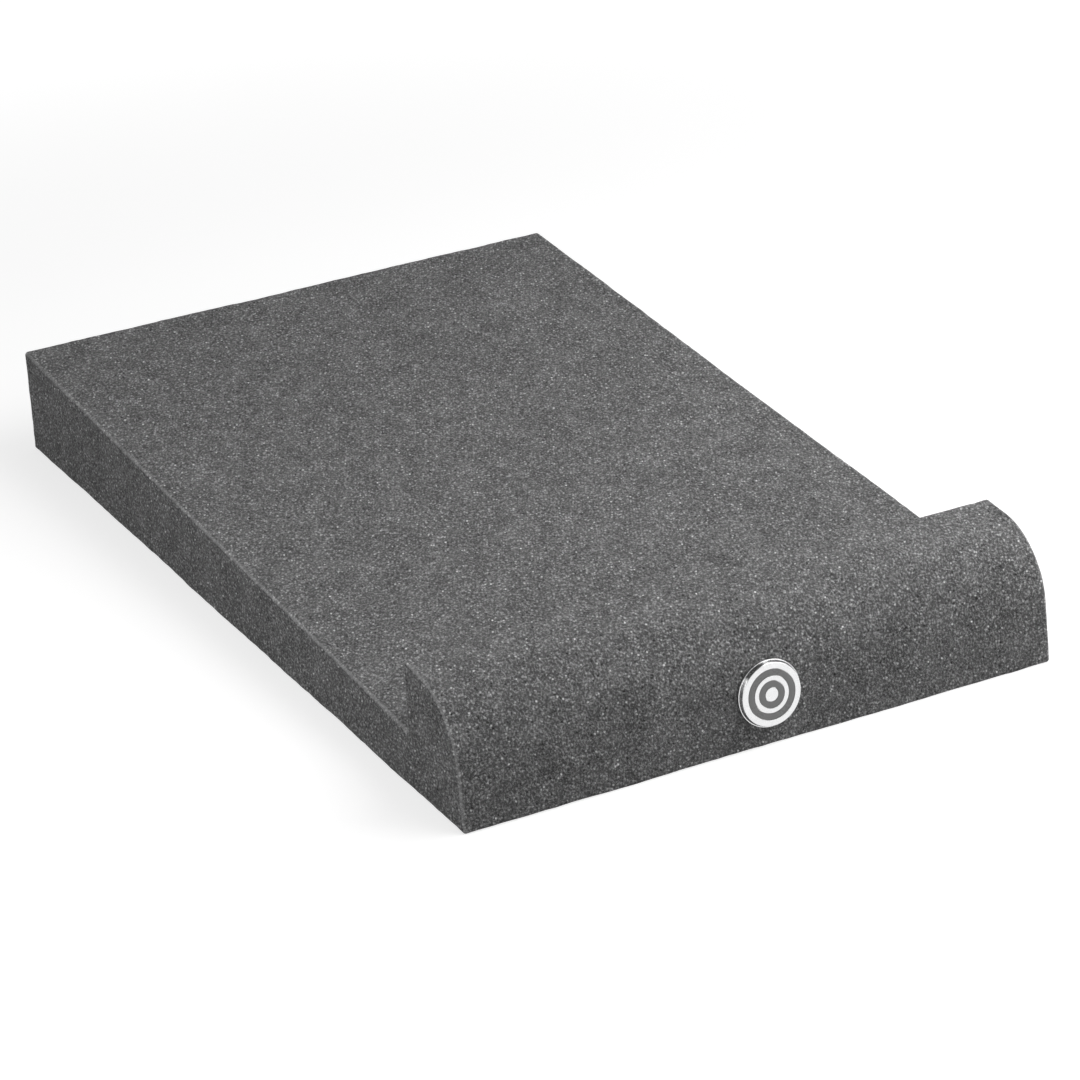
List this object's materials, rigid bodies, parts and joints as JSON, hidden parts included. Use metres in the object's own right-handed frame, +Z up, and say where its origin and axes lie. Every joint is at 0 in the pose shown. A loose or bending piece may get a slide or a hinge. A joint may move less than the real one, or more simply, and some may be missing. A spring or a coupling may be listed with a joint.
{
  "type": "speaker isolation pad",
  "caption": "Sloped open-cell foam pad with a raised, round-fronted lip that stops a studio speaker sliding off, and a plain round metal badge on the lip.",
  "frame": {"origin": "middle of the flat underside", "axes": "+Y from the lip at the front to the thick back edge, +Z up, +X to the right seen from the front"},
  "size_m": [0.2, 0.3316, 0.0419],
  "materials": {
    "foam": "matt open-cell polyurethane foam, charcoal grey with light and dark specks",
    "badge_metal": "satin silver face with a polished rim",
    "badge_colour": "smooth grey colour fill",
    "tape": "black double-sided foam tape"
  },
  "bodies": {
    "root": {"foam_pad": "foam", "badge_plate": "badge_metal", "badge_outer_ring": "badge_colour", "badge_inner_ring": "badge_colour", "badge_tape": "tape"}
  },
  "joints": []
}
